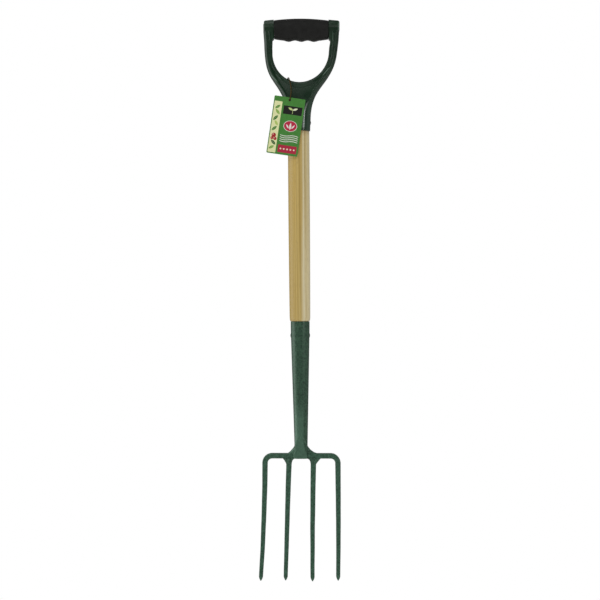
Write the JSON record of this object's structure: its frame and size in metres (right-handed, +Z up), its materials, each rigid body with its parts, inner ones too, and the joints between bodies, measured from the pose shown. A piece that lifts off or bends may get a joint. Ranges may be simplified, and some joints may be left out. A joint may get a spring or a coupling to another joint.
{
  "type": "border fork",
  "caption": "Slim digging fork: tined steel head on a tapered socket, turned ash shaft, moulded D handle with a finger-shaped grip, and a card tag on a string.",
  "frame": {"origin": "the point on the shaft's axis that is level with the underside of the grip, where the fork hangs from a peg", "axes": "+Z runs up along the shaft from the tines to the grip, -Y is the front, towards which the tines curve and on which the tag hangs, and +X is to the right of someone who looks at the front"},
  "size_m": [0.1512, 0.0445, 1.0058],
  "materials": {
    "yoke_green": "dark green moulded plastic, satin",
    "grip_black": "soft black grip, fine matt grain",
    "ash": "turned ash, satin lacquer",
    "hammered_green": "hammered green paint over steel, satin gloss",
    "rivet_steel": "dulled steel",
    "tag_card": "printed coated card",
    "twine": "brown twisted twine"
  },
  "bodies": {
    "fork": {"grip_sleeve": "grip_black", "handle_yoke": "yoke_green", "handle_rivet": "rivet_steel", "shaft": "ash", "socket": "hammered_green", "socket_rivet": "rivet_steel", "outer_tine_bar": "hammered_green", "inner_tine_left": "hammered_green", "inner_tine_right": "hammered_green", "tine_weld_left": "hammered_green", "tine_weld_right": "hammered_green", "neck_weld_left": "hammered_green", "neck_weld_right": "hammered_green", "tag_string": "twine", "string_knot": "twine"},
    "tag": {"swing_tag": "tag_card"}
  },
  "joints": [
    {"name": "tag_swing", "type": "hinge", "parent": "fork", "child": "tag", "pos_m": [-0.0154, -0.021, -0.1084], "axis": [0, 1, 0], "range_deg": [-58.3, 41.7]}
  ]
}
